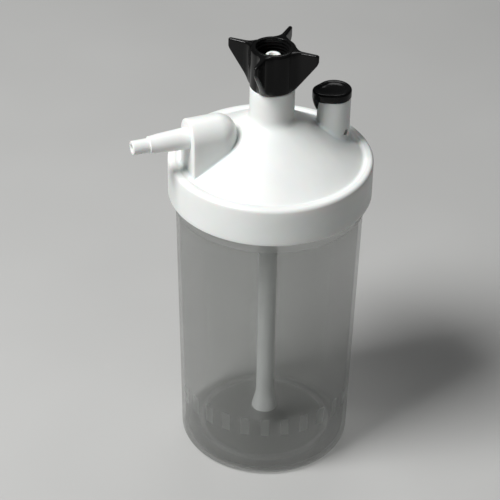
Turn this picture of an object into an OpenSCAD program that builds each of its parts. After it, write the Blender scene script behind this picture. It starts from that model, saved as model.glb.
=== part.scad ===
// Bubble humidifier bottle for an oxygen supply: a screw-top jar, a lid with the gas outlet and a
// relief valve, a dip tube that ends in a diffuser, and the wing nut that hangs it on a flowmeter.
// Millimetres. The origin is the centre of the jar's flat base and +Z is up. The outlet points
// along -X, the relief valve stands on +X, and XZ is the mirror plane of the lid's features.

/* [Jar] */
// Outside radius just above the foot
jar_foot_r = 37.45; // [37:0.05:38]
// Outside radius just below the bead
jar_top_r = 39.9; // [39.4:0.05:40.2]
// Wall thickness of the body
jar_wall = 1.6; // [1.3:0.1:1.9]
// Floor thickness
jar_floor = 2.0; // [1.5:0.1:2.5]
// Radius of the round corner at the foot
foot_round = 3; // [2:0.5:4]
// Radius of the ring raised on the floor
floor_ring_r = 28.5; // [24:0.5:30]
// Height of the bead's top, just under the lid's skirt
bead_z = 127; // [126.6:0.1:127.1]
// Outside radius of the bead
bead_r = 40.9; // [40.4:0.1:41.5]
// Outside radius of the threaded neck, between the threads
neck_r = 38.4; // [38.2:0.1:38.5]
// Height of the open rim
rim_z = 139.2; // [139:0.1:139.3]
// Number of plain raised blocks round the front
block_count = 11; // [7:1:13]

/* [Lid] */
// Outside radius of the skirt
lid_r = 43; // [42.6:0.1:44]
// Bottom of the skirt
skirt_z = 127.4; // [127.3:0.1:127.8]
// Top of the raised rim
lid_rim_z = 144.7; // [144.5:0.1:145]
// Where the cone's foot meets the raised rim: radius
cone_foot_r = 39.5; // [39:0.1:39.6]
// Where the cone's foot meets the raised rim: height
cone_foot_z = 143.5; // [143.4:0.1:143.8]
// Height of the cone's top, where it turns into the neck
cone_top_z = 161.5; // [160.5:0.1:162.5]
// Outside radius of the inlet neck
inlet_neck_r = 9.3; // [9:0.1:9.4]
// Top of the inlet neck
inlet_neck_z = 177.6; // [177:0.1:177.6]

/* [Screw thread] */
// Rise in one turn
thread_pitch = 5; // [4.8:0.1:5.2]
// Turns on the jar
jar_turns = 1.3; // [1:0.1:1.3]
// Turns in the lid
lid_turns = 1; // [0.5:0.1:1]

/* [Outlet] */
// Height of the nipple's axis
outlet_z = 160.3; // [159.5:0.1:161]
// Half width of the arched boss
boss_r = 8; // [7.5:0.1:8.5]
// Distance of the boss's flat face from the centre
boss_face = 37; // [36:0.1:38]
// Distance of the nipple's tip from the centre
nipple_tip = 60.7; // [59:0.1:62]
// Outside radius of the nipple's end
nipple_r = 3.0; // [2.9:0.05:3.1]
// Radius of the gas hole
nipple_bore_r = 1.6; // [1.4:0.1:1.8]

/* [Wing nut] */
// Outside radius of the nut's barrel
nut_r = 9.4; // [9:0.1:9.8]
// Top of the nut
nut_top_z = 195.6; // [195:0.1:196]
// Radius of the bore at the crests of its thread, for a 9/16-18 thread
nut_bore_r = 6.4; // [6.35:0.05:6.45]
// Radius of the wings' tips
wing_r = 19.6; // [17:0.1:20]
// Thickness of a wing
wing_thick = 2.4; // [1.8:0.1:3]
// Angle of the first wing from +X
wing_angle = 46.6; // [0:0.1:90]

/* [Inlet stem and dip tube] */
// Outside radius of the stem's nose
nose_r = 3.2; // [3:0.1:3.4]
// Top of the nose
nose_z = 192; // [191:0.1:192]
// Outside radius of the dip tube
tube_r = 3.9; // [3.7:0.1:4.1]
// Bore radius of the dip tube
tube_bore_r = 2.7; // [2.5:0.1:2.8]
// Lower end of the dip tube
tube_low_z = 20.5; // [18:0.5:24]
// Lower end of the diffuser
bell_low_z = 10; // [8:0.5:12]
// Outside radius of the diffuser's mouth
bell_r = 5.9; // [5.5:0.1:6.3]

/* [Relief valve] */
// Distance of the valve's axis from the centre
valve_x = 27.9; // [27:0.1:28.5]
// Outside radius of the post
post_r = 7; // [6.8:0.1:7.2]
// Top of the post
post_z = 167.4; // [166:0.1:168]
// Height of the cap above the post
cap_height = 3.8; // [3:0.1:4.5]
// Turns of the spring
spring_turns = 7; // [5:1:9]

/* [Hidden] */
$fn = 96;
over = 1;                       // how far a cut runs past the face that it opens

// Jar
neck_wall = 2.2;
bead_height = 4.4;
bead_round = 0.4;
shoulder_drop = 5;              // height of the slope between the body's and the neck's insides
inner_round = 2;
floor_ring_width = 2;
floor_ring_height = 1.8;
block_low_z = 23;
block_height = 10;
block_width = 4.6;
block_relief = 0.5;
block_depth = 1.4;
block_arc = 132;                // the blocks' whole fan, in degrees
block_middle = -112;            // direction of the middle block

// Screw thread: trapezoid ridges, the lid's ridge lying below the jar's
thread_start_z = 130.5;
ridge_depth = 1.5;
ridge_sink = 0.5;
ridge_half_root = 1.3;
ridge_half_crest = 0.6;
ridge_fade = 20;                // degrees over which a ridge's end grows out of the wall
lid_ridge_drop = 2;
lid_ridge_start = 60;           // degrees
ridge_step = 10;                // degrees between the ridge's sections

// Lid
lid_wall = 2;
skirt_inner_r = 40.6;
skirt_edge = 0.5;
rim_round = 2.5;
rim_inner_round = 0.8;
gasket_thick = 2;
gasket_inner_r = 35.5;
gasket_outer_r = 39.4;
gasket_seat_z = rim_z + gasket_thick;
lip_outer_r = 35.2;
lip_inner_r = 33.9;
lip_drop = 2.3;
neck_fillet = 2.4;
neck_edge = 0.5;
cone_slope = (cone_top_z - cone_foot_z) / (cone_foot_r - inlet_neck_r - neck_fillet);
cone_wall_drop = lid_wall * sqrt(1 + cone_slope * cone_slope);
stem_land_z = 166;
neck_core_r = 7.3;
boss_end = 24;                  // distance from the centre at which the boss's round end starts
boss_side_r = boss_r - 0.3;
outlet_hole_r = 4;
outlet_hole_end = 21;
outlet_drop_r = 3.2;
outlet_drop_x = -24.5;

// Outlet nipple
nipple_root_r = 4.6;
nipple_mid_r = 4.0;
nipple_step_r = 3.5;
nipple_mid = 49;
nipple_step = 53.5;
nipple_step_width = 0.6;
nipple_chamfer = 0.5;
nipple_spigot = 8;

// Inlet stem, from the nose down
stem_r = 4.8;
stem_bore_r = 1.7;
collar_r = 5.9;
collar_low_z = 181;
collar_high_z = 184.2;
collar_chamfer = 0.6;
nose_chamfer = 0.8;
stem_low_z = 160;
spigot_low_z = 146;
o_ring_r = 0.9;
o_ring_z = 172;

// Wing nut
nut_lip_thick = 3.1;
nut_running_gap = 0.08;         // between the nut's lip and the stem that it turns on
nut_relief_r = 7.0;
nut_entry_low = nose_z + 0.5;   // below this the bore is opened to the root of its thread
nut_mouth_r = 7.6;
nut_mouth_z = nut_top_z - 0.6;
nut_edge = 0.6;
wing_count = 4;
wing_root_r = 8.4;
wing_foot_r = 9.9;
wing_foot_z = inlet_neck_z + 0.2;
wing_tip_height = 4;
wing_round = 1;

// Diffuser
bell_spigot = 8;
bell_bore_r = 1.7;
disc_r = 4.9;
disc_thick = 2.4;
disc_inset = 0.4;

// Relief valve, from the floor up
post_bore_r = 5.2;
valve_floor_z = 148.8;
valve_floor_thick = 2.2;
valve_hole_r = 2.6;
seat_thick = 2.2;
seat_hole_r = 2.2;
seat_lip_width = 0.7;
seat_lip_height = 0.5;
seal_r = 3.9;
seal_thick = 1.2;
poppet_r = 4.4;
poppet_thick = 1.3;
poppet_stem_r = 1.25;
poppet_travel = 1.5;
guide_r = 2.5;
guide_hole_r = 1.33;
guide_low_z = 161.5;
guide_hole_top_z = 168.4;
wire_r = 0.3;
spring_r = 3.4;
spring_gap = 0.05;              // between the spring's lowest turn and the poppet at rest
spring_steps = 16;              // sections in one turn
wire_sides = 8;
plug_low_z = 163.5;
plug_inner_r = 4.3;
cap_r = 7.2;
cap_round = 1.2;
cap_dish_r = 5;
cap_dish = 0.5;
cap_lobe_r = 5.4;
cap_lobe_shift = 4.2;
cap_tongue_low_z = 160.8;
cap_tongue_r = 3;
cap_tongue_tip_r = 1.6;
cap_tongue_shift = 5.7;
cap_tongue_turn = -25;
cap_tongue_gap = 0.1;
cap_sink = 0.5;                 // how far the tongue, plug and guide run up into the cap's disc
vent_angle = -62;
vent_z = 152.5;
vent_width = 2.2;
vent_height = 2.8;
vent_tilt = -25;

seat_top_z = valve_floor_z + seat_thick;
seal_low_z = seat_top_z + seat_lip_height;
poppet_low_z = seal_low_z + seal_thick;
poppet_top_z = poppet_low_z + poppet_thick;
poppet_stem_top_z = guide_hole_top_z - poppet_travel - 0.5;

// Points of an arc about (x, y), from one angle to another, ends included
function arc(x, y, r, from, to, steps = 6) =
    [for (i = [0 : steps]) let (a = from + (to - from) * i / steps) [x + r * cos(a), y + r * sin(a)]];

// Radius of the jar's outside at a height
function jar_outside(z) = jar_foot_r + (jar_top_r - jar_foot_r) * (z - foot_round) / (bead_z - foot_round);

// Height of the lid's cone at a radius
function cone_z(r) = cone_foot_z + (cone_foot_r - r) * cone_slope;

// A closed tube of equal rings: points are listed ring by ring
module ring_sweep(points, rings, sides) {
    walls = [for (i = [0 : rings - 2]) for (j = [0 : sides - 1])
        [i * sides + j, i * sides + (j + 1) % sides, (i + 1) * sides + (j + 1) % sides,
            (i + 1) * sides + j]];
    caps = [[for (j = [sides - 1 : -1 : 0]) j], [for (j = [0 : sides - 1]) (rings - 1) * sides + j]];
    polyhedron(points = points, faces = concat(walls, caps), convexity = 10);
}

// A trapezoid ridge on a helix that climbs counterclockwise. It fades into the wall at both ends.
module helical_ridge(root_r, wall_r, crest_r, start_z, start_angle, turns) {
    steps = round(turns * 360 / ridge_step);
    buried_r = wall_r + (root_r - wall_r) * 0.4;
    side = crest_r > root_r ? 1 : -1;     // keeps the faces pointing outwards on either ridge
    points = [for (i = [0 : steps])
        let (along = i * ridge_step)
        let (grow = min(1, along / ridge_fade, (steps * ridge_step - along) / ridge_fade))
        let (tip_r = buried_r + (crest_r - buried_r) * grow)
        let (a = start_angle + along)
        let (z = start_z + thread_pitch * (start_angle + along) / 360)
        for (p = [[root_r, -ridge_half_root], [tip_r, -ridge_half_crest],
            [tip_r, ridge_half_crest], [root_r, ridge_half_root]])
        [p[0] * cos(a), p[0] * sin(a), z + side * p[1]]];
    ring_sweep(points, steps + 1, 4);
}

// Jar: drafted body with a bead, threaded neck, ring on the floor and blocks round the front
module jar() {
    inner_foot_r = jar_foot_r - jar_wall;
    inner_top_r = jar_top_r - jar_wall;
    neck_inner_r = neck_r - neck_wall;
    color([0.49, 0.5, 0.48, 0.6]) {
        difference() {
            rotate_extrude() polygon(concat(
                [[0, 0]],
                arc(jar_foot_r - foot_round, foot_round, foot_round, -90, 0),
                [[jar_outside(bead_z - bead_height - bead_round), bead_z - bead_height - bead_round],
                    [bead_r, bead_z - bead_height], [bead_r, bead_z - bead_round],
                    [bead_r - bead_round, bead_z], [neck_r, bead_z],
                    [neck_r, rim_z - 0.4], [neck_r - 0.4, rim_z], [0, rim_z]]));
            rotate_extrude() polygon(concat(
                [[0, jar_floor]],
                arc(inner_foot_r - inner_round, jar_floor + inner_round, inner_round, -90, 0),
                [[inner_top_r, bead_z - bead_height - shoulder_drop],
                    [neck_inner_r, bead_z - bead_height], [neck_inner_r, rim_z + over], [0, rim_z + over]]));
        }
        rotate_extrude()
            translate([floor_ring_r - floor_ring_width / 2, jar_floor - 0.5])
            square([floor_ring_width, floor_ring_height + 0.5]);
        for (i = [0 : block_count - 1])
            rotate([0, 0, block_middle + block_arc * (i / (block_count - 1) - 0.5)])
            translate([jar_outside(block_low_z + block_height / 2) + block_relief - block_depth,
                -block_width / 2, block_low_z])
            cube([block_depth, block_width, block_height]);
        helical_ridge(neck_r - ridge_sink, neck_r, neck_r + ridge_depth, thread_start_z, 0, jar_turns);
    }
}

// Gasket: flat ring held in the lid between its locating lip and its skirt
module lid_gasket() {
    color([0.85, 0.86, 0.84])
    translate([0, 0, rim_z])
    rotate_extrude() translate([gasket_inner_r, 0]) square([gasket_outer_r - gasket_inner_r, gasket_thick]);
}

// Outside of the lid without its boss and post, solid down to the skirt's bottom
module lid_outside() {
    rotate_extrude() polygon(concat(
        [[0, skirt_z], [lid_r - skirt_edge, skirt_z], [lid_r, skirt_z + skirt_edge]],
        arc(lid_r - rim_round, lid_rim_z - rim_round, rim_round, 0, 90),
        arc(cone_foot_r + rim_inner_round, lid_rim_z - rim_inner_round, rim_inner_round, 90, 180, 3),
        [[cone_foot_r, cone_foot_z]],
        arc(inlet_neck_r + neck_fillet, cone_top_z + neck_fillet, neck_fillet, 240, 180),
        [[inlet_neck_r, inlet_neck_z - neck_edge], [inlet_neck_r - neck_edge, inlet_neck_z], [0, inlet_neck_z]]));
}

// Hollow under the lid: skirt, gasket seat, locating lip, cone and the core of the neck
module lid_hollow() {
    rotate_extrude() polygon([
        [0, skirt_z - over], [skirt_inner_r, skirt_z - over], [skirt_inner_r, gasket_seat_z],
        [lip_outer_r, gasket_seat_z], [lip_outer_r, gasket_seat_z - lip_drop],
        [lip_inner_r, gasket_seat_z - lip_drop], [lip_inner_r, cone_z(lip_inner_r) - cone_wall_drop],
        [inlet_neck_r, cone_z(inlet_neck_r) - cone_wall_drop], [neck_core_r, stem_land_z - neck_fillet],
        [neck_core_r, stem_land_z], [0, stem_land_z]]);
}

// Arched boss behind the outlet: flat face outwards, round end towards the neck
module outlet_boss() {
    translate([0, 0, outlet_z]) rotate([0, -90, 0])
    rotate_extrude() polygon(concat(
        [[0, boss_face], [boss_r - 0.5, boss_face], [boss_r, boss_face - 0.5]],
        arc(0, boss_end, boss_r, 0, -90)));
    translate([0, 0, cone_foot_z])
    linear_extrude(outlet_z - cone_foot_z) polygon(concat(
        [[-boss_face + 0.2, boss_side_r], [-boss_face + 0.2, -boss_side_r]],
        arc(-boss_end, 0, boss_side_r, -90, 90, 12)));
}

// Lid: skirt, cone, inlet neck, outlet boss and valve post in one moulding
module lid() {
    color([0.9, 0.92, 0.9]) {
        difference() {
            union() {
                difference() {
                    union() {
                        lid_outside();
                        outlet_boss();
                        translate([valve_x, 0, cone_foot_z]) cylinder(r = post_r, h = post_z - cone_foot_z);
                    }
                    lid_hollow();
                }
                translate([valve_x, 0, valve_floor_z - valve_floor_thick])
                cylinder(r = post_r - 0.2, h = valve_floor_thick + 4);
            }
            cylinder(r = stem_r, h = inlet_neck_z + over);
            translate([-outlet_hole_end, 0, outlet_z]) rotate([0, -90, 0])
            cylinder(r = outlet_hole_r, h = boss_face - outlet_hole_end + over);
            translate([outlet_drop_x, 0, cone_foot_z]) cylinder(r = outlet_drop_r, h = outlet_z - cone_foot_z);
            translate([valve_x, 0, valve_floor_z]) cylinder(r = post_bore_r, h = post_z - valve_floor_z + over);
            translate([valve_x, 0, valve_floor_z - valve_floor_thick - over])
            cylinder(r = valve_hole_r, h = valve_floor_thick + 2 * over);
            translate([valve_x, 0, vent_z]) rotate([0, 0, vent_angle]) rotate([vent_tilt, 0, 0])
            translate([post_bore_r - over, -vent_width / 2, -vent_height / 2])
            cube([post_r - post_bore_r + 2 * over, vent_width, vent_height]);
        }
        helical_ridge(skirt_inner_r + ridge_sink, skirt_inner_r, neck_r + 0.6,
            thread_start_z - lid_ridge_drop, lid_ridge_start, lid_turns);
    }
}

// Outlet nipple: spigot pressed into the boss, tapered shank and a plain end for the hose
module outlet_nipple() {
    color([0.9, 0.92, 0.9])
    translate([0, 0, outlet_z]) rotate([0, -90, 0])
    rotate_extrude() polygon([
        [nipple_bore_r, boss_face - nipple_spigot], [outlet_hole_r, boss_face - nipple_spigot],
        [outlet_hole_r, boss_face], [nipple_root_r, boss_face], [nipple_mid_r, nipple_mid],
        [nipple_step_r, nipple_step - nipple_step_width], [nipple_step_r, nipple_step],
        [nipple_r, nipple_step], [nipple_r, nipple_tip - nipple_chamfer],
        [nipple_r - nipple_chamfer, nipple_tip], [nipple_bore_r, nipple_tip]]);
}

// Inlet stem: nose and collar inside the nut, body pressed into the neck, spigot for the dip tube
module inlet_stem() {
    color([0.92, 0.93, 0.92])
    difference() {
        rotate_extrude() polygon([
            [stem_bore_r, spigot_low_z], [tube_bore_r, spigot_low_z], [tube_bore_r, stem_low_z],
            [stem_r, stem_low_z], [stem_r, collar_low_z], [collar_r, collar_low_z],
            [collar_r, collar_high_z - collar_chamfer], [collar_r - collar_chamfer, collar_high_z],
            [nose_r, collar_high_z], [nose_r, nose_z - nose_chamfer], [nose_r - nose_chamfer, nose_z],
            [stem_bore_r, nose_z]]);
        rotate_extrude() translate([stem_r - 2 * o_ring_r, o_ring_z - o_ring_r])
        square([2 * o_ring_r + over, 2 * o_ring_r]);
    }
}

// O-ring that seals the stem in the neck
module stem_o_ring() {
    color([0.08, 0.08, 0.08])
    translate([0, 0, o_ring_z]) rotate_extrude() translate([stem_r - o_ring_r, 0]) circle(r = o_ring_r, $fn = 32);
}

// Wing nut: bored barrel with an inward lip at its foot and four flared wings
module wing_nut() {
    color([0.03, 0.03, 0.03]) {
        rotate_extrude() polygon([
            [stem_r + nut_running_gap, inlet_neck_z], [nut_r - nut_edge, inlet_neck_z],
            [nut_r, inlet_neck_z + nut_edge], [nut_r, nut_top_z - nut_edge], [nut_r - nut_edge, nut_top_z],
            [nut_mouth_r, nut_top_z], [nut_bore_r, nut_mouth_z], [nut_bore_r, nut_entry_low],
            [nut_relief_r, nut_entry_low], [nut_relief_r, inlet_neck_z + nut_lip_thick],
            [stem_r + nut_running_gap, inlet_neck_z + nut_lip_thick]]);
        for (i = [0 : wing_count - 1])
            rotate([0, 0, wing_angle + i * 360 / wing_count]) rotate([90, 0, 0])
            translate([0, 0, -wing_thick / 2])
            linear_extrude(wing_thick) polygon(concat(
                [[wing_root_r, wing_foot_z], [wing_foot_r, wing_foot_z],
                    [wing_r, nut_top_z - wing_tip_height]],
                arc(wing_r - wing_round, nut_top_z - wing_round, wing_round, 0, 90, 4),
                [[wing_root_r, nut_top_z - nut_edge]]));
    }
}

// Dip tube: pushed up over the stem's spigot
module dip_tube() {
    color([0.85, 0.87, 0.86])
    difference() {
        translate([0, 0, tube_low_z]) cylinder(r = tube_r, h = stem_low_z - tube_low_z);
        translate([0, 0, tube_low_z - over]) cylinder(r = tube_bore_r, h = stem_low_z - tube_low_z + 2 * over);
    }
}

// Diffuser bell: spigot in the tube's lower end and a flared mouth that holds the porous disc
module diffuser_bell() {
    disc_top_z = bell_low_z + disc_inset + disc_thick;
    color([0.88, 0.9, 0.89])
    rotate_extrude() polygon([
        [bell_bore_r, tube_low_z + bell_spigot], [tube_bore_r, tube_low_z + bell_spigot],
        [tube_bore_r, tube_low_z], [tube_r, tube_low_z], [bell_r, bell_low_z], [disc_r, bell_low_z],
        [disc_r, disc_top_z], [disc_r - 0.9, disc_top_z], [disc_r - 0.9, disc_top_z + 1],
        [bell_bore_r, disc_top_z + 4]]);
}

// Porous disc in the bell's mouth
module diffuser_disc() {
    color([0.72, 0.74, 0.72])
    translate([0, 0, bell_low_z + disc_inset]) cylinder(r = disc_r, h = disc_thick);
}

// Valve seat: ring pressed into the bottom of the post, with a narrow sealing lip
module valve_seat() {
    color([0.75, 0.6, 0.3])
    translate([valve_x, 0, 0])
    rotate_extrude() polygon([
        [seat_hole_r, valve_floor_z], [post_bore_r, valve_floor_z], [post_bore_r, seat_top_z],
        [seat_hole_r + seat_lip_width, seat_top_z], [seat_hole_r + seat_lip_width, seal_low_z],
        [seat_hole_r, seal_low_z]]);
}

// Rubber face under the poppet
module poppet_seal() {
    color([0.12, 0.12, 0.12])
    translate([valve_x, 0, seal_low_z]) cylinder(r = seal_r, h = seal_thick);
}

// Poppet: disc with a guide stem that runs up inside the spring
module valve_poppet() {
    color([0.93, 0.93, 0.9])
    translate([valve_x, 0, 0]) {
        translate([0, 0, poppet_low_z]) cylinder(r = poppet_r, h = poppet_thick);
        translate([0, 0, poppet_low_z]) cylinder(r = poppet_stem_r, h = poppet_stem_top_z - poppet_low_z);
    }
}

// Spring between the poppet and the cap
module valve_spring() {
    low = poppet_top_z + wire_r + spring_gap;
    high = post_z - wire_r;
    rings = spring_turns * spring_steps + 1;
    points = [for (i = [0 : rings - 1])
        let (a = 360 * i / spring_steps)
        let (z = low + (high - low) * i / (rings - 1))
        for (j = [0 : wire_sides - 1])
        let (b = 360 * j / wire_sides)
        let (r = spring_r + wire_r * cos(b))
        [r * cos(a), r * sin(a), z + wire_r * sin(b)]];
    color([0.7, 0.71, 0.72])
    translate([valve_x, 0, 0]) ring_sweep(points, rings, wire_sides);
}

// Cap: dished disc with a lobe and a tongue towards the neck, a plug in the post and a guide
module valve_cap() {
    color([0.04, 0.04, 0.04])
    translate([valve_x, 0, 0])
    difference() {
        union() {
            rotate_extrude() polygon(concat(
                [[0, post_z], [cap_r, post_z]],
                arc(cap_r - cap_round, post_z + cap_height - cap_round, cap_round, 0, 90),
                [[cap_dish_r, post_z + cap_height - cap_dish], [0, post_z + cap_height - cap_dish]]));
            translate([-cap_lobe_shift, 0, post_z]) cylinder(r = cap_lobe_r, h = cap_height - cap_round);
            difference() {
                rotate([0, 0, cap_tongue_turn]) translate([-cap_tongue_shift, 0, cap_tongue_low_z])
                cylinder(r1 = cap_tongue_tip_r, r2 = cap_tongue_r, h = post_z - cap_tongue_low_z + cap_sink);
                translate([0, 0, cap_tongue_low_z - over])
                cylinder(r = post_r + cap_tongue_gap, h = post_z - cap_tongue_low_z + over);
            }
            difference() {
                translate([0, 0, plug_low_z]) cylinder(r = post_bore_r, h = post_z - plug_low_z + cap_sink);
                translate([0, 0, plug_low_z - over]) cylinder(r = plug_inner_r, h = post_z - plug_low_z + over);
            }
            translate([0, 0, guide_low_z]) cylinder(r = guide_r, h = post_z - guide_low_z + cap_sink);
        }
        translate([0, 0, guide_low_z - over]) cylinder(r = guide_hole_r, h = guide_hole_top_z - guide_low_z + over);
    }
}

jar();
lid_gasket();
lid();
outlet_nipple();
inlet_stem();
stem_o_ring();
wing_nut();
dip_tube();
diffuser_bell();
diffuser_disc();
valve_seat();
poppet_seal();
valve_poppet();
valve_spring();
valve_cap();
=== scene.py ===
"""Looks of a bubble humidifier bottle: frosted jar, white lid, black wing nut and relief valve cap.

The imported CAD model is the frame. Each visible plastic part gets a finer mesh that rides on the same body,
and every piece gets a procedural material. Helpers work in millimetres, objects are in metres.
"""

import math

import bmesh
import bpy
from mathutils import Matrix, Vector

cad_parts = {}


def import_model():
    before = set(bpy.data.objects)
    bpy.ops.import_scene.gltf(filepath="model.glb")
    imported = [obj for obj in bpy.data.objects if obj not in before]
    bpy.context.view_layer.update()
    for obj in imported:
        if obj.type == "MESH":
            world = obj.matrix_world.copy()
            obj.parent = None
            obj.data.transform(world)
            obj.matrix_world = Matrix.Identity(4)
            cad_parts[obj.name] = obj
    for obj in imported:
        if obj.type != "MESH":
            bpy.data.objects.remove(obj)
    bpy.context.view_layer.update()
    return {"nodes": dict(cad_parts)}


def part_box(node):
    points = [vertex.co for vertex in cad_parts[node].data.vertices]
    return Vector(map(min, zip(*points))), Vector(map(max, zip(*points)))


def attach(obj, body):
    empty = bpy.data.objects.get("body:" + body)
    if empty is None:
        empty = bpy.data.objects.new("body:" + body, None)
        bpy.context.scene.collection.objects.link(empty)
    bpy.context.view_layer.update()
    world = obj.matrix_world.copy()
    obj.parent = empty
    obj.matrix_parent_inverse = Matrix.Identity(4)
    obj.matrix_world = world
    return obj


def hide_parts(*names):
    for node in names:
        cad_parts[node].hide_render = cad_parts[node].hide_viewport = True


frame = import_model()

MM = 0.001


# ---------------------------------------------------------------- sizes, in millimetres


def low(node, axis):
    """Lowest coordinate of a CAD node along an axis, 0 to 2."""
    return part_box(node)[0][axis] / MM


def high(node, axis):
    """Highest coordinate of a CAD node along an axis, 0 to 2."""
    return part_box(node)[1][axis] / MM


# Jar
RIM_Z = high("jar", 2)
BEAD_R = high("jar", 0)
BEAD_TOP = RIM_Z - 12.2
BEAD_HEIGHT = 4.4
JAR_TOP_R = BEAD_R - 1.0
JAR_FOOT_R = JAR_TOP_R - 2.45
JAR_WALL = 1.6
JAR_FLOOR = 2.0
FOOT_ROUND = 3.0
NECK_R = BEAD_R - 2.5
NECK_WALL = 2.2
RING_R = 28.5
BLOCK_LOW, BLOCK_HIGH = 23.0, 33.0
BLOCK_COUNT = 11
BLOCK_FAN = math.radians(132)
BLOCK_MIDDLE = math.radians(-112)
BLOCK_WIDTH = 4.6
BLOCK_RELIEF = 0.4
BLOCK_PALE, BEAD_PALE, RING_PALE = 0.35, 0.6, 1.0

# Lid
LID_R = high("lid", 0)
SKIRT_LOW = low("lid", 2)
NECK_TOP = high("lid", 2)
LID_RIM = SKIRT_LOW + 17.3
CONE_FOOT = (LID_R - 3.5, LID_RIM - 1.2)
INLET_NECK_R = 9.3
NECK_FILLET = 4.5
CONE_TOP = CONE_FOOT[1] + 19.5
CONE_SLOPE = (CONE_TOP - CONE_FOOT[1]) / (CONE_FOOT[0] - INLET_NECK_R)
SKIRT_INNER_R = LID_R - 2.4
GASKET_SEAT = high("lid_gasket", 2)
STEM_R = 4.8

# Outlet
OUTLET_Z = (low("outlet_nipple", 2) + high("outlet_nipple", 2)) / 2
NIPPLE_TIP = -low("outlet_nipple", 0)
BOSS_R = 8.0
BOSS_FACE = 37.0
BOSS_END = 24.0

# Relief valve
VALVE_X = (low("valve_seat", 0) + high("valve_seat", 0)) / 2
POST_R = 7.0
POST_BORE_R = high("valve_seat", 0) - VALVE_X
CAP_TOP = high("valve_cap", 2)
POST_TOP = CAP_TOP - 3.8
CAP_TONGUE_LOW = POST_TOP - 6.6
CAP_TONGUE_AT = math.radians(155)
CAP_R = high("valve_cap", 0) - VALVE_X
CAP_LOBE_R = 5.4
CAP_LOBE_SHIFT = -(low("valve_cap", 0) - VALVE_X) - CAP_LOBE_R
GUIDE_LOW = low("valve_cap", 2)
GUIDE_HOLE_R, GUIDE_R = 1.33, 2.5
PLUG_LOW = GUIDE_LOW + 2
PLUG_INNER_R = 4.3
CAP_JOIN = POST_TOP + 0.3

# Wing nut
NUT_LOW = low("wing_nut", 2)
NUT_TOP = high("wing_nut", 2)
NUT_R = 9.4
NUT_BORE_R = 7.15
NUT_CREST_R = 6.45
NUT_PITCH = 25.4 / 18
WING_R = 19.6
WING_ANGLE = math.radians(46.6)
WING_COUNT = 4


# ---------------------------------------------------------------- outlines and meshes


def arc(x, y, r, start, end, steps=8):
    """Points of an arc, angles in degrees, ends included."""
    angles = [math.radians(start + (end - start) * i / steps) for i in range(steps + 1)]
    return [(x + r * math.cos(a), y + r * math.sin(a)) for a in angles]


def rounded(points, steps=6):
    """An outline from (x, y) or (x, y, radius) points, with each given corner turned into an arc."""
    out = []
    for i, point in enumerate(points):
        here = Vector(point[:2])
        radius = point[2] if len(point) > 2 else 0
        if not radius:
            out.append(tuple(here))
            continue
        before = (Vector(points[i - 1][:2]) - here).normalized()
        after = (Vector(points[(i + 1) % len(points)][:2]) - here).normalized()
        half = before.angle(after) / 2
        reach = radius / math.tan(half)
        centre = here + (before + after).normalized() * (radius / math.sin(half))
        first, last = here + before * reach - centre, here + after * reach - centre
        turn = math.pi - 2 * half
        side = 1 if first.x * last.y - first.y * last.x > 0 else -1
        for k in range(steps + 1):
            a = side * turn * k / steps
            out.append(
                (
                    centre.x + first.x * math.cos(a) - first.y * math.sin(a),
                    centre.y + first.x * math.sin(a) + first.y * math.cos(a),
                )
            )
    return out


def densified(points, step):
    """The same closed outline with points no further apart than step, for shading and for relief."""
    out = []
    for i, p in enumerate(points):
        q = points[(i + 1) % len(points)]
        count = max(1, math.ceil(math.dist(p, q) / step))
        out += [
            (p[0] + (q[0] - p[0]) * k / count, p[1] + (q[1] - p[1]) * k / count)
            for k in range(count)
        ]
    return out


def lathe(outline, steps=128, relief=None):
    """Vertices and faces of a closed (radius, height) outline turned about Z. relief moves a radius."""
    verts, faces = [], []
    for k in range(steps):
        a = 2 * math.pi * k / steps
        for r, z in outline:
            rr = r + relief(a, r, z) if relief else r
            verts.append((rr * math.cos(a), rr * math.sin(a), z))
    n = len(outline)
    for k in range(steps):
        for i in range(n):
            j = (i + 1) % n
            a, b = k * n, (k + 1) % steps * n
            faces.append((a + i, b + i, b + j, a + j))
    return verts, faces


def grid(rows, closed_columns=False, closed_rows=False, cap=False):
    """Vertices and faces of a grid of points, row by row. cap closes the first and last row with one face."""
    count = len(rows[0])
    verts = [p for row in rows for p in row]
    faces = []
    for i in range(len(rows) if closed_rows else len(rows) - 1):
        a, b = i * count, (i + 1) % len(rows) * count
        for j in range(count if closed_columns else count - 1):
            k = (j + 1) % count
            faces.append((a + j, a + k, b + k, b + j))
    if cap:
        faces.append(tuple(reversed(range(count))))
        faces.append(tuple(range((len(rows) - 1) * count, len(rows) * count)))
    return verts, faces


def helix_ridge(outer, crest, low_z, high_z, pitch, root_half, crest_half, start=0.0, fade=20):
    """A closed trapezoid ridge on a helix, from the wall at radius outer to its crest."""
    steps_per_turn = 48
    count = int((high_z - low_z) / pitch * steps_per_turn)
    sunk = outer + (0.3 if outer > crest else -0.3)
    rows = []
    for i in range(count + 1):
        a = start + 2 * math.pi * i / steps_per_turn
        z = low_z + pitch * i / steps_per_turn
        grow = min(1, i / fade, (count - i) / fade)
        tip = outer + (crest - outer) * grow
        rows.append(
            [
                (r * math.cos(a), r * math.sin(a), z + d)
                for r, d in (
                    (sunk, -root_half),
                    (tip, -crest_half),
                    (tip, crest_half),
                    (sunk, root_half),
                )
            ]
        )
    return grid(rows, closed_columns=True, cap=True)


def placed(shell, matrix):
    """A shell moved by a matrix given in millimetres."""
    verts, faces = shell
    return [tuple(matrix @ Vector(v)) for v in verts], faces


def shift(shell, x):
    """A shell moved along X."""
    return placed(shell, Matrix.Translation((x, 0, 0)))


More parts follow.
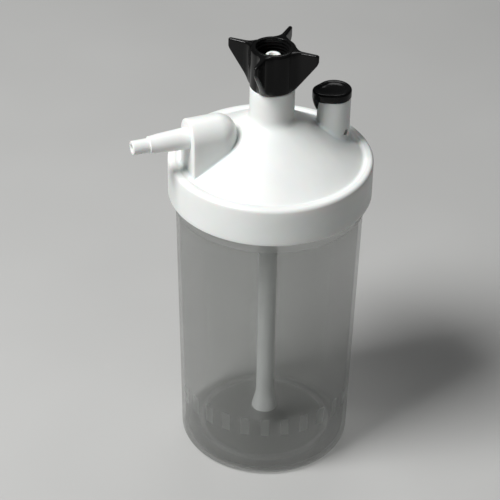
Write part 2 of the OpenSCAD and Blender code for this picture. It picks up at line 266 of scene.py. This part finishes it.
def piece(name, shells, body, material, replaced=(), sharp=32):
    """One object from closed shells: welded, facing outwards, smooth except over sharp edges."""
    verts, faces = [], []
    for shell_verts, shell_faces in shells:
        start = len(verts)
        verts += [tuple(c * MM for c in v) for v in shell_verts]
        faces += [tuple(start + i for i in f) for f in shell_faces]
    mesh = bpy.data.meshes.new(name)
    mesh.from_pydata(verts, [], faces)
    tidy(mesh)
    mesh.polygons.foreach_set("use_smooth", [True] * len(mesh.polygons))
    mesh.set_sharp_from_angle(angle=math.radians(sharp))
    mesh.materials.append(material)
    obj = bpy.data.objects.new(name, mesh)
    bpy.context.scene.collection.objects.link(obj)
    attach(obj, body)
    if replaced:
        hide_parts(*replaced)
    return obj


def tidy(mesh):
    """Welds points that coincide, drops faces with no area and turns the faces outwards."""
    bm = bmesh.new()
    bm.from_mesh(mesh)
    bmesh.ops.remove_doubles(bm, verts=bm.verts, dist=2e-6)
    bmesh.ops.dissolve_degenerate(bm, edges=bm.edges, dist=1e-7)
    bmesh.ops.recalc_face_normals(bm, faces=bm.faces)
    bm.to_mesh(mesh)
    bm.free()


# ---------------------------------------------------------------- materials


def node_material(name, base, roughness, **settings):
    """A Principled material. Values that don't vary are set on the shader's own sockets."""
    material = bpy.data.materials.new(name)
    material.use_nodes = True
    tree = material.node_tree
    shader = tree.nodes["Principled BSDF"]
    shader.inputs["Base Color"].default_value = (*base, 1)
    shader.inputs["Roughness"].default_value = roughness
    for key, value in settings.items():
        shader.inputs[key.replace("_", " ")].default_value = value
    return material, tree, shader


def noise(tree, scale, detail=3.0, rough=0.5):
    """A noise texture in object space, in metres."""
    place = tree.nodes.new("ShaderNodeTexCoord")
    texture = tree.nodes.new("ShaderNodeTexNoise")
    texture.inputs["Scale"].default_value = scale
    texture.inputs["Detail"].default_value = detail
    texture.inputs["Roughness"].default_value = rough
    tree.links.new(place.outputs["Object"], texture.inputs["Vector"])
    return texture.outputs["Fac"]


def ramp(tree, value, start, end, low_value, high_value):
    """A value mapped from start..end to low_value..high_value."""
    node = tree.nodes.new("ShaderNodeMapRange")
    node.inputs["From Min"].default_value = start
    node.inputs["From Max"].default_value = end
    node.inputs["To Min"].default_value = low_value
    node.inputs["To Max"].default_value = high_value
    tree.links.new(value, node.inputs["Value"])
    return node.outputs["Result"]


def tint(tree, shader, value, first, second):
    """Base colour that wanders between two near colours."""
    mix = tree.nodes.new("ShaderNodeMix")
    mix.data_type = "RGBA"
    mix.inputs["A"].default_value = (*first, 1)
    mix.inputs["B"].default_value = (*second, 1)
    tree.links.new(value, mix.inputs["Factor"])
    tree.links.new(mix.outputs["Result"], shader.inputs["Base Color"])


def bump(tree, shader, value, strength, distance):
    """Fine relief from a value, its depth in metres."""
    node = tree.nodes.new("ShaderNodeBump")
    node.inputs["Strength"].default_value = strength
    node.inputs["Distance"].default_value = distance
    tree.links.new(value, node.inputs["Height"])
    tree.links.new(node.outputs["Normal"], shader.inputs["Normal"])


def plastic(name, first, second, roughness, grain=900, depth=0.00003, **settings):
    """Moulded plastic: two near tones, uneven gloss and a fine skin texture."""
    material, tree, shader = node_material(name, first, roughness, **settings)
    tint(tree, shader, ramp(tree, noise(tree, 60), 0.35, 0.65, 0, 1), first, second)
    gloss = ramp(tree, noise(tree, 180, 4), 0.3, 0.7, roughness * 0.85, roughness * 1.15)
    tree.links.new(gloss, shader.inputs["Roughness"])
    bump(tree, shader, noise(tree, grain, 2), 0.35, depth)
    return material


def frosted_jar():
    """Frosted polypropylene: a grey veil that still shows the tube and the floor inside."""
    first, second = (0.30, 0.31, 0.295), (0.33, 0.34, 0.325)
    settings = {"Alpha": 0.35, "Transmission_Weight": 0.7, "IOR": 1.2}
    material = plastic("frosted_plastic", first, second, 0.45, grain=1500, depth=0.00002, **settings)
    tree = material.node_tree
    thick = tree.nodes.new("ShaderNodeAttribute")
    thick.attribute_name = "thick"
    socket = tree.nodes["Principled BSDF"].inputs["Base Color"]
    mix = tree.nodes.new("ShaderNodeMix")
    mix.data_type = "RGBA"
    mix.inputs["B"].default_value = (0.8, 0.82, 0.79, 1)
    tree.links.new(thick.outputs["Fac"], mix.inputs["Factor"])
    tree.links.new(socket.links[0].from_socket, mix.inputs["A"])
    tree.links.new(mix.outputs["Result"], socket)
    return material


def metal(name, base, roughness):
    """Turned or drawn metal with fine uneven polish."""
    material, tree, shader = node_material(name, base, roughness, Metallic=1.0)
    gloss = ramp(tree, noise(tree, 1500, 2), 0.3, 0.7, roughness * 0.7, roughness * 1.3)
    tree.links.new(gloss, shader.inputs["Roughness"])
    bump(tree, shader, noise(tree, 2500, 2), 0.2, 0.00001)
    return material


WHITE = plastic(
    "white_plastic", (0.80, 0.82, 0.80), (0.84, 0.855, 0.84), 0.36,
    Subsurface_Weight=0.15, Subsurface_Scale=0.003, IOR=1.47,
)
JAR = frosted_jar()
TUBE = plastic("tube_plastic", (0.9, 0.92, 0.91), (0.93, 0.95, 0.94), 0.45, IOR=1.45)
BLACK = plastic(
    "black_plastic", (0.003, 0.003, 0.003), (0.005, 0.005, 0.005), 0.17,
    grain=1200, depth=0.00002, IOR=1.5, Specular_IOR_Level=0.17,
)
SILICONE = plastic("seal_silicone", (0.62, 0.64, 0.61), (0.68, 0.69, 0.66), 0.6)
RUBBER = plastic("seal_black", (0.02, 0.02, 0.02), (0.03, 0.03, 0.028), 0.7)
POROUS = plastic("porous_plastic", (0.6, 0.62, 0.6), (0.74, 0.76, 0.74), 0.9, grain=2200, depth=0.0003)
BRASS = metal("brass", (0.72, 0.53, 0.24), 0.28)
STEEL = metal("spring_steel", (0.62, 0.62, 0.62), 0.3)


# ---------------------------------------------------------------- jar


def jar_outside(z):
    """Radius of the drafted body at a height."""
    share = (z - FOOT_ROUND) / (BEAD_TOP - FOOT_ROUND)
    return JAR_FOOT_R + (JAR_TOP_R - JAR_FOOT_R) * share


def smooth_box(distance, half, edge):
    """1 inside half a width, 0 outside it, with a smooth edge."""
    t = min(1, max(0, (half - abs(distance)) / edge + 0.5))
    return t * t * (3 - 2 * t)


def block_relief(a, r, z):
    """Plain raised blocks in a fan round the front of the jar's outer wall."""
    if not BLOCK_LOW - 1 < z < BLOCK_HIGH + 1 or r < jar_outside(z) - JAR_WALL / 2:
        return 0
    pitch = BLOCK_FAN / (BLOCK_COUNT - 1)
    away = (a - BLOCK_MIDDLE + math.pi) % (2 * math.pi) - math.pi
    nearest = round(away / pitch)
    if abs(nearest) > BLOCK_COUNT // 2:
        return 0
    across = (away - nearest * pitch) * r
    middle = (BLOCK_LOW + BLOCK_HIGH) / 2
    up = smooth_box(z - middle, (BLOCK_HIGH - BLOCK_LOW) / 2, 1.6)
    return BLOCK_RELIEF * smooth_box(across, BLOCK_WIDTH / 2, 1.6) * up


def mark_thick(mesh):
    """Marks where the plastic is thicker, and so paler: the blocks, the bead and the floor's ring."""
    values = []
    for vertex in mesh.vertices:
        x, y, z = (c / MM for c in vertex.co)
        r = math.hypot(x, y)
        block = block_relief(math.atan2(y, x), r, z) / BLOCK_RELIEF
        bead = BEAD_TOP - BEAD_HEIGHT < z <= BEAD_TOP and r > NECK_R - NECK_WALL
        ring = JAR_FLOOR < z < JAR_FLOOR + 2 and abs(r - RING_R) < 1.3
        values.append(max(BLOCK_PALE * block, BEAD_PALE * bead, RING_PALE * ring))
    mesh.attributes.new("thick", "FLOAT", "POINT").data.foreach_set("value", values)


def jar():
    """Drafted body with a rounded foot, a ring on the floor, a bead and a threaded neck."""
    bead_low = BEAD_TOP - BEAD_HEIGHT
    neck_inner = NECK_R - NECK_WALL
    inner_top, inner_foot = JAR_TOP_R - JAR_WALL, JAR_FOOT_R - JAR_WALL
    ring_top = JAR_FLOOR + 1.8
    outline = rounded(
        [
            (0, 0), (JAR_FOOT_R, 0, FOOT_ROUND),
            (jar_outside(BLOCK_LOW - 1.2), BLOCK_LOW - 1.2),
            (jar_outside(BLOCK_HIGH + 1.2), BLOCK_HIGH + 1.2),
            (jar_outside(bead_low - 0.5), bead_low - 0.5, 0.4),
            (BEAD_R, bead_low + 0.3, 0.6), (BEAD_R, BEAD_TOP, 0.6), (NECK_R, BEAD_TOP, 0.4),
            (NECK_R, RIM_Z, 0.5), (neck_inner, RIM_Z, 0.5), (neck_inner, bead_low, 1.5),
            (inner_top, bead_low - 5, 2), (inner_foot, JAR_FLOOR, 2.5), (RING_R + 1.1, JAR_FLOOR, 0.5),
            (RING_R + 0.9, ring_top, 0.6), (RING_R - 0.9, ring_top, 0.6), (RING_R - 1.1, JAR_FLOOR, 0.5),
            (0, JAR_FLOOR),
        ]
    )
    outline = densified(outline, 4)
    fine_step = 0.35
    fine = []
    for p, q in zip(outline, outline[1:] + outline[:1]):
        fine.append(p)
        outside = min(p[0], q[0]) > JAR_FOOT_R - 0.5
        if outside and BLOCK_LOW - 2 < min(p[1], q[1]) and max(p[1], q[1]) < BLOCK_HIGH + 2:
            count = math.ceil(math.dist(p, q) / fine_step)
            fine += [
                (p[0] + (q[0] - p[0]) * k / count, p[1] + (q[1] - p[1]) * k / count)
                for k in range(1, count)
            ]
    body = lathe(fine, 512, block_relief)
    thread_low = BEAD_TOP + 3.5
    thread = helix_ridge(NECK_R, NECK_R + 1.5, thread_low, thread_low + 6.5, 5.0, 1.2, 0.6, fade=4)
    obj = piece("jar_body", [body, thread], "jar", JAR, ["jar"])
    mark_thick(obj.data)


# ---------------------------------------------------------------- lid


def cone_z(r):
    """Height of the cone's surface at a radius."""
    return CONE_FOOT[1] + (CONE_FOOT[0] - r) * CONE_SLOPE


def lid_body():
    """Skirt, rim bead, cone and inlet neck, hollow underneath."""
    under = 2 * math.hypot(1, CONE_SLOPE)
    valley_r = CONE_FOOT[0] - 0.8
    core_r, roof_r, seat_r = 7.3, 33.9, 35.2
    core_low, gasket_low = NECK_TOP - 11.6, GASKET_SEAT - 2.3
    return lathe(
        densified(
            rounded(
                [
                    (SKIRT_INNER_R, SKIRT_LOW, 0.5), (LID_R, SKIRT_LOW, 0.7), (LID_R, LID_RIM, 1.6),
                    (CONE_FOOT[0] + 0.6, LID_RIM, 1.2), (valley_r, cone_z(valley_r), 1.6),
                    (INLET_NECK_R, cone_z(INLET_NECK_R), NECK_FILLET), (INLET_NECK_R, NECK_TOP, 0.5),
                    (STEM_R, NECK_TOP), (STEM_R, core_low), (core_r, core_low),
                    (core_r, cone_z(core_r) - under), (roof_r, cone_z(roof_r) - under),
                    (roof_r, gasket_low), (seat_r, gasket_low), (seat_r, GASKET_SEAT),
                    (SKIRT_INNER_R, GASKET_SEAT),
                ]
            ),
            3,
        ),
        192,
    )


def flare(path, reach):
    """A concave fillet where a wall stands on the cone. path lists (point, outward normal) pairs."""
    rows = []
    for (x, y), (nx, ny) in path:
        row = []
        for k in range(9):
            u = k / 8
            px, py = x + nx * reach * u, y + ny * reach * u
            lift = reach * (1 - math.sqrt(max(0, 1 - (1 - u) ** 2)))
            row.append((px, py, cone_z(math.hypot(px, py)) + lift - 0.06 * u))
        px, py = x + nx * reach, y + ny * reach
        row.append((px, py, cone_z(math.hypot(px, py)) - 0.9))
        px, py = x - nx * 0.5, y - ny * 0.5
        row.append((px, py, cone_z(math.hypot(px, py)) - 0.9))
        row.append((px, py, cone_z(math.hypot(px, py)) + reach * 0.9))
        rows.append(row)
    return grid(rows, closed_columns=True, closed_rows=True)


def fan(x, y, radius, start, end, steps):
    """Points on an arc about (x, y) with their outward normals, angles in degrees."""
    out = []
    for k in range(steps + 1):
        a = math.radians(start + (end - start) * k / steps)
        n = (math.cos(a), math.sin(a))
        out.append(((x + radius * n[0], y + radius * n[1]), n))
    return out


def boss():
    """Arched boss: a half profile swept along one side, round the inner end and back."""
    edge = 0.7
    sink = cone_z(BOSS_FACE) - 1.5

    def profile(inset):
        wall = [(BOSS_R - inset, sink + (OUTLET_Z - sink) * k / 6) for k in range(6)]
        return wall + arc(0, OUTLET_Z, BOSS_R - inset, 0, 90, 14)

    stations = []
    for k in range(5):
        a = math.radians(90 * k / 4)
        stations.append((-BOSS_FACE + edge * (1 - math.sin(a)), edge * (1 - math.cos(a)), 90))
    left = stations[::-1]
    left += [(-BOSS_FACE + edge + (BOSS_FACE - BOSS_END - edge) * k / 6, 0, 90) for k in range(1, 6)]
    turn = [(-BOSS_END, 0, 90 - 180 * k / 24) for k in range(25)]
    right = [(x, inset, -90) for x, inset, _ in reversed(left)]
    rows = []
    for x, inset, normal in left + turn + right:
        n = math.radians(normal)
        rows.append([(x + d * math.cos(n), d * math.sin(n), z) for d, z in profile(inset)])
    verts, faces = grid(rows)
    count = len(rows[0])
    last = (len(rows) - 1) * count
    faces.append(tuple(range(count)) + tuple(last + i for i in reversed(range(count - 1))))
    underside = [i * count for i in range(len(rows))]
    faces.append(tuple(reversed(underside)))
    return verts, faces


def boss_flare():
    """Fillet round the boss's foot."""
    side = [((-BOSS_FACE + (BOSS_FACE - BOSS_END) * k / 8, BOSS_R), (0, 1)) for k in range(1, 9)]
    path = fan(-BOSS_FACE, BOSS_R, 0, 180, 90, 6) + side + fan(-BOSS_END, 0, BOSS_R, 90, -90, 24)[1:]
    path += [((x, -y), (nx, -ny)) for (x, y), (nx, ny) in reversed(side[:-1])]
    path += fan(-BOSS_FACE, -BOSS_R, 0, -90, -180, 6)
    return flare(path, 0.8)


def valve_post():
    """Tube of the relief valve; lid() cuts the vent slot through its wall afterwards."""
    seat_low = low("valve_seat", 2)
    hole_r, foot_r, foot_low = 2.6, POST_R - 0.2, seat_low - 2.2
    outline = rounded(
        [
            (hole_r, foot_low), (foot_r, foot_low), (foot_r, seat_low), (POST_R, seat_low + 0.2),
            (POST_R, POST_TOP, 0.3), (POST_BORE_R, POST_TOP, 0.2), (POST_BORE_R, seat_low),
            (hole_r, seat_low),
        ]
    )
    return shift(lathe(densified(outline, 3), 96), x=VALVE_X)


def slot_cutter():
    """Slanted rounded slot through the post's wall, as an object for a Boolean."""
    middle = low("valve_seat", 2) + 3.7
    facing, slant = math.radians(-62), math.radians(-25)
    half_width, half_height, corner = 1.1, 1.4, 0.8
    points = rounded(
        [
            (-half_width, -half_height, corner), (half_width, -half_height, corner),
            (half_width, half_height, corner), (-half_width, half_height, corner),
        ]
    )
    rows = [[(x, p[0], p[1]) for p in points] for x in (POST_BORE_R - 1.5, POST_R + 1.5)]
    turn = Matrix.Translation((VALVE_X, 0, middle)) @ Matrix.Rotation(facing, 4, "Z")
    turn = turn @ Matrix.Rotation(slant, 4, "X")
    verts, faces = placed(grid(rows, closed_columns=True, cap=True), turn)
    mesh = bpy.data.meshes.new("slot_cutter")
    mesh.from_pydata([tuple(c * MM for c in v) for v in verts], [], faces)
    tidy(mesh)
    return bpy.data.objects.new("slot_cutter", mesh)


def cut(obj, cutter):
    """Takes the cutter's shape out of obj's mesh, then removes the cutter."""
    bpy.context.scene.collection.objects.link(cutter)
    modifier = obj.modifiers.new("slot", "BOOLEAN")
    modifier.operation = "DIFFERENCE"
    modifier.solver = "EXACT"
    modifier.object = cutter
    bpy.context.view_layer.update()
    evaluated = obj.evaluated_get(bpy.context.evaluated_depsgraph_get())
    mesh = bpy.data.meshes.new_from_object(evaluated)
    obj.modifiers.remove(modifier)
    obj.data = mesh
    bpy.data.objects.remove(cutter)


def lid():
    """The lid's moulding, and the tube of its relief valve."""
    circle = fan(VALVE_X, 0, POST_R, 0, 360 - 360 / 72, 71)
    thread_low = SKIRT_LOW + 1.93
    thread = helix_ridge(
        SKIRT_INNER_R, SKIRT_INNER_R - 1.6, thread_low, thread_low + 5, 5.0, 1.2, 0.6,
        start=math.radians(60), fade=4,
    )
    shells = [lid_body(), boss(), boss_flare(), flare(circle, 1.8), thread]
    piece("lid_moulding", shells, "lid", WHITE, ["lid"])
    post = piece("valve_post", [valve_post()], "lid", WHITE)
    cut(post, slot_cutter())


def outlet_nipple():
    """Nipple: tapered shank, small step and a plain bored end, along -X."""
    bore_r, pressed_r, step_r, end_r = 1.6, 4.0, 3.62, 3.0
    pressed_end, step_at = BOSS_FACE - 8, 53.5
    outline = rounded(
        [
            (bore_r, pressed_end), (pressed_r, pressed_end), (pressed_r, BOSS_FACE), (4.6, BOSS_FACE, 0.1),
            (4.0, 49, 2), (step_r, step_at - 0.8, 0.2), (step_r, step_at, 0.2), (end_r, step_at, 0.15),
            (end_r, NIPPLE_TIP, 0.5), (bore_r, NIPPLE_TIP, 0.3),
        ]
    )
    shell = lathe(densified(outline, 3), 72)
    turn = Matrix.Translation((0, 0, OUTLET_Z)) @ Matrix.Rotation(math.radians(-90), 4, "Y")
    piece("outlet_spout", [placed(shell, turn)], "lid", WHITE, ["outlet_nipple"])


def inlet_stem():
    """Stem inside the wing nut: nose, collar, body with its seal groove, spigot."""
    seal = (low("stem_o_ring", 2), high("stem_o_ring", 2))
    nose, collar = high("inlet_stem", 2), NECK_TOP + 3.4
    groove = STEM_R - (seal[1] - seal[0])
    stem_low, spigot_top = low("inlet_stem", 2), seal[0] - 11.1
    bore_r, spigot_r, nose_r, collar_r, collar_top = 1.7, 2.7, 3.2, 5.9, collar + 3.2
    outline = rounded(
        [
            (bore_r, stem_low), (spigot_r, stem_low), (spigot_r, spigot_top), (STEM_R, spigot_top),
            (STEM_R, seal[0]), (groove, seal[0]), (groove, seal[1]), (STEM_R, seal[1]),
            (STEM_R, collar), (collar_r, collar), (collar_r, collar_top, 0.6), (nose_r, collar_top, 0.6),
            (nose_r, nose, 0.7), (bore_r, nose, 0.4),
        ]
    )
    piece("inlet_nose", [lathe(densified(outline, 3), 72)], "lid", WHITE, ["inlet_stem"])


# ---------------------------------------------------------------- wing nut


def nut_barrel():
    """Barrel with an inward lip below and an open threaded bore above."""
    lip = NUT_LOW + 3.1
    hole_r = STEM_R + 0.08
    return lathe(
        densified(
            rounded(
                [
                    (hole_r, NUT_LOW), (NUT_R, NUT_LOW, 0.6), (NUT_R, NUT_TOP, 1.3),
                    (NUT_BORE_R, NUT_TOP, 0.3), (NUT_BORE_R, lip), (hole_r, lip),
                ]
            ),
            2,
        ),
        128,
    )


def wing():
    """One wing in the plane Y = 0: slanted outer edge, rounded tip, thicker where it meets the barrel."""
    tip_height, corner, edge = 4.0, 1.0, 0.75
    foot_r, foot_z, root_r = 9.9, NUT_LOW + 0.2, NUT_R - 0.7
    slope = (NUT_TOP - tip_height - foot_z) / (WING_R - foot_r)

    def top(r):
        over = max(0, r - (WING_R - corner))
        return NUT_TOP - corner + math.sqrt(max(0, corner**2 - over**2))

    def bottom(r):
        along = foot_z + max(0, r - foot_r) * slope
        over = max(0, r - (WING_R - corner))
        rise = corner - math.sqrt(max(0, corner**2 - over**2))
        return min(along + rise * 1.4, top(r))

    def half_thickness(r, to_edge):
        body = 0.8 + 0.45 * (WING_R - r) / (WING_R - NUT_R)
        root = 1.6 * max(0, 1 - (r - NUT_R) / 3.0) ** 2
        t = min(1, to_edge / edge)
        return (body + root) * math.sqrt(max(0, 1 - (1 - t) ** 2))

    offsets = [0, 0.04, 0.12, 0.26, 0.48, 0.75]
    inner = [root_r + (WING_R - 0.75 - root_r) * k / 14 for k in range(14)]
    columns = inner + [WING_R - o for o in reversed(offsets)]
    rows = []
    for r in columns:
        low_z, high_z = bottom(r), top(r)
        tall = max(high_z - low_z, 1e-4)
        reach = min(0.75, tall / 2)
        heights = [low_z + o * reach / 0.75 for o in offsets]
        heights += [low_z + reach + (tall - 2 * reach) * k / 8 for k in range(1, 8)]
        heights += [high_z - o * reach / 0.75 for o in reversed(offsets)]
        ring = []
        for z in heights:
            distance = min(z - low_z, high_z - z, WING_R - r)
            ring.append((r, half_thickness(r, distance), z))
        ring += [(x, -y, z) for x, y, z in reversed(ring[1:-1])]
        rows.append(ring)
    verts, faces = grid(rows, closed_columns=True)
    faces.append(tuple(reversed(range(len(rows[0])))))
    return verts, faces


def wing_nut():
    """Black nut: barrel, four wings and the fine thread in its bore."""
    wings = [
        placed(wing(), Matrix.Rotation(WING_ANGLE + 2 * math.pi * k / WING_COUNT, 4, "Z"))
        for k in range(WING_COUNT)
    ]
    thread = helix_ridge(
        NUT_BORE_R, NUT_CREST_R, NUT_LOW + 6.5, NUT_TOP - 0.9, NUT_PITCH, 0.6, 0.12, fade=24
    )
    shells = [nut_barrel(), thread, *wings]
    piece("wing_nut_moulding", shells, "nut", BLACK, ["wing_nut"])


# ---------------------------------------------------------------- relief valve cap


def cap_radius(a):
    """Outline of the cap: a big circle and a smaller lobe towards the neck, joined by straight tangents."""
    away = abs(math.pi - a % (2 * math.pi))
    normal = math.acos((CAP_R - CAP_LOBE_R) / CAP_LOBE_SHIFT)
    lobe_end = math.atan2(
        CAP_LOBE_R * math.sin(normal), CAP_LOBE_SHIFT + CAP_LOBE_R * math.cos(normal)
    )
    if away >= normal:
        return CAP_R
    if away >= lobe_end:
        return CAP_R / math.cos(away - normal)
    across = CAP_LOBE_SHIFT * math.sin(away)
    return CAP_LOBE_SHIFT * math.cos(away) + math.sqrt(CAP_LOBE_R**2 - across**2)


def cap_ring(inset, z, steps=128):
    """The cap's outline, drawn in by inset, at a height."""
    out = []
    for k in range(steps):
        a = 2 * math.pi * k / steps
        r = cap_radius(a) - inset
        out.append((VALVE_X + r * math.cos(a), r * math.sin(a), z))
    return out


def round_ring(r, z, steps=128):
    """A circle about the valve's axis."""
    angles = [2 * math.pi * k / steps for k in range(steps)]
    return [(VALVE_X + r * math.cos(a), r * math.sin(a), z) for a in angles]


def cap_disc():
    """The cap's disc: rounded edge, shallow dish on top, a recess below over the poppet's stem."""
    rim = 1.0
    recess_top = POST_TOP + 1
    rows = [
        round_ring(0.4, recess_top),
        round_ring(GUIDE_HOLE_R, recess_top),
        round_ring(GUIDE_HOLE_R, POST_TOP),
        cap_ring(0.25, POST_TOP),
        cap_ring(0, POST_TOP + 0.25),
    ]
    rows += [cap_ring(rim - y, z) for y, z in arc(0, CAP_TOP - rim, rim, 0, 90, 6)]
    dish = [(1.7, 0.08), (2.3, 0.35), (2.9, 0.55), (4.5, 0.65), (CAP_R - 0.4, 0.7)]
    rows += [cap_ring(inset, CAP_TOP - depth) for inset, depth in dish]
    return grid(rows, closed_columns=True, cap=True)


def cap_tongue():
    """Pointed tongue that runs from the lobe down the post's side."""
    drop = CAP_JOIN - CAP_TONGUE_LOW
    inside = POST_R + 0.05
    rows = []
    for j in range(25):
        share = j / 24
        reach = math.radians(4 + 24 * math.sqrt(1 - share**2))
        reach_r = inside + 2.05 * (1 - share**2) + 0.15
        z = CAP_JOIN - drop * share
        outer_row, inner_row = [], []
        for k in range(13):
            across = 2 * k / 12 - 1
            a = CAP_TONGUE_AT + reach * across
            bulge = (reach_r - inside) * math.sqrt(1 - across**2)
            r = min(inside + 0.02 + bulge, cap_radius(a) - 0.02)
            outer_row.append((VALVE_X + r * math.cos(a), r * math.sin(a), z))
            inner_row.append((VALVE_X + inside * math.cos(a), inside * math.sin(a), z))
        rows.append(outer_row + inner_row[::-1])
    return grid(rows, closed_columns=True, cap=True)


def cap_tube(inner_r, outer_r, bottom, steps):
    """A plain tube under the cap, about the valve's axis."""
    outline = [(inner_r, bottom), (outer_r, bottom), (outer_r, CAP_JOIN), (inner_r, CAP_JOIN)]
    return shift(lathe(outline, steps), x=VALVE_X)


def valve_cap():
    """Dished cap with a tongue, a plug in the post's bore and a guide for the poppet's stem."""
    plug = cap_tube(PLUG_INNER_R, POST_BORE_R, PLUG_LOW, 64)
    guide = cap_tube(GUIDE_HOLE_R, GUIDE_R, GUIDE_LOW, 48)
    shells = [cap_disc(), cap_tongue(), plug, guide]
    piece("valve_cap_moulding", shells, "lid", BLACK, ["valve_cap"])


# ---------------------------------------------------------------- dip tube's end


def diffuser():
    """Bell on the tube's end: smooth flare outside, open mouth that holds the porous disc."""
    bottom, top = low("diffuser_bell", 2), high("diffuser_bell", 2)
    tube_end = low("dip_tube", 2)
    mouth = high("diffuser_bell", 0)
    tube_r = high("dip_tube", 0)
    disc_r, disc_top = high("diffuser_disc", 0), high("diffuser_disc", 2)
    outline = rounded(
        [
            (1.7, top), (2.7, top), (2.7, tube_end), (tube_r, tube_end), (tube_r, tube_end - 2.2, 9),
            (mouth, bottom, 0.4), (disc_r, bottom, 0.2), (disc_r, disc_top),
            (4, disc_top), (4, disc_top + 1), (1.7, disc_top + 4),
        ]
    )
    shell = lathe(densified(outline, 2), 72)
    piece("diffuser_flare", [shell], "lid", TUBE, ["diffuser_bell"])


# ---------------------------------------------------------------- CAD nodes that stay


def paint(node, material):
    """A CAD node whose shape is right gets its material."""
    mesh = frame["nodes"][node].data
    mesh.materials.clear()
    mesh.materials.append(material)
    mesh.polygons.foreach_set("use_smooth", [True] * len(mesh.polygons))
    mesh.set_sharp_from_angle(angle=math.radians(30))


# ---------------------------------------------------------------- floor, light and camera


def area_light(name, place, target, size, power, colour=(1, 1, 1)):
    """A square soft light, in metres and watts."""
    data = bpy.data.lights.new(name, "AREA")
    data.shape = "SQUARE"
    data.size = size
    data.energy = power
    data.color = colour
    obj = bpy.data.objects.new(name, data)
    obj.location = place
    obj.rotation_euler = (Vector(target) - Vector(place)).to_track_quat("-Z", "Y").to_euler()
    bpy.context.scene.collection.objects.link(obj)


def floor():
    """Pale floor under the object."""
    mesh = bpy.data.meshes.new("floor")
    half = 3.0
    corners = [(-half, -half, 0), (half, -half, 0), (half, half, 0), (-half, half, 0)]
    mesh.from_pydata(corners, [], [(0, 1, 2, 3)])
    material, tree, shader = node_material("floor", (0.48, 0.48, 0.47), 0.7)
    patches = ramp(tree, noise(tree, 8, 2), 0.3, 0.7, 0, 1)
    tint(tree, shader, patches, (0.47, 0.47, 0.46), (0.50, 0.50, 0.49))
    mesh.materials.append(material)
    obj = bpy.data.objects.new("floor", mesh)
    bpy.context.scene.collection.objects.link(obj)


def world(strength):
    """Even soft light from all round."""
    scene_world = bpy.data.worlds.new("studio")
    scene_world.use_nodes = True
    background = scene_world.node_tree.nodes["Background"]
    background.inputs["Color"].default_value = (0.9, 0.93, 0.95, 1)
    background.inputs["Strength"].default_value = strength
    bpy.context.scene.world = scene_world


def camera():
    """Camera at the reference view: to the front left and well above, with a slight lean."""
    azimuth, elevation, lean = math.radians(-22), math.radians(34.8), math.radians(1.09)
    distance, lens = 0.8, 133.3
    target = Vector((-0.0073, 0.003, 0.0958))
    back = Vector(
        (
            math.sin(azimuth) * math.cos(elevation),
            -math.cos(azimuth) * math.cos(elevation),
            math.sin(elevation),
        )
    )
    data = bpy.data.cameras.new("camera")
    data.lens = lens
    data.clip_start, data.clip_end = 0.05, 20
    obj = bpy.data.objects.new("camera", data)
    aim = (-back).to_track_quat("-Z", "Y").to_matrix().to_4x4()
    obj.matrix_world = Matrix.Translation(target + back * distance) @ aim @ Matrix.Rotation(lean, 4, "Z")
    bpy.context.scene.collection.objects.link(obj)
    bpy.context.scene.camera = obj


def lights():
    middle = (0, 0, 0.1)
    area_light("key", (-0.85, -0.12, 1.3), middle, 0.6, 27)
    area_light("fill", (-0.2, -1.6, 0.7), middle, 1.0, 0.4)
    area_light("back", (0.4, 0.85, 1.5), middle, 0.6, 4)


# ---------------------------------------------------------------- build

camera()
jar()
lid()
outlet_nipple()
inlet_stem()
wing_nut()
valve_cap()
diffuser()
KEPT = {
    "lid_gasket": SILICONE, "stem_o_ring": RUBBER, "dip_tube": TUBE, "diffuser_disc": POROUS,
    "valve_seat": BRASS, "poppet_seal": RUBBER, "valve_poppet": WHITE, "valve_spring": STEEL,
}
for kept_node, kept_material in KEPT.items():
    paint(kept_node, kept_material)
floor()
world(0.06)
lights()
bpy.context.scene.view_settings.view_transform = "Standard"
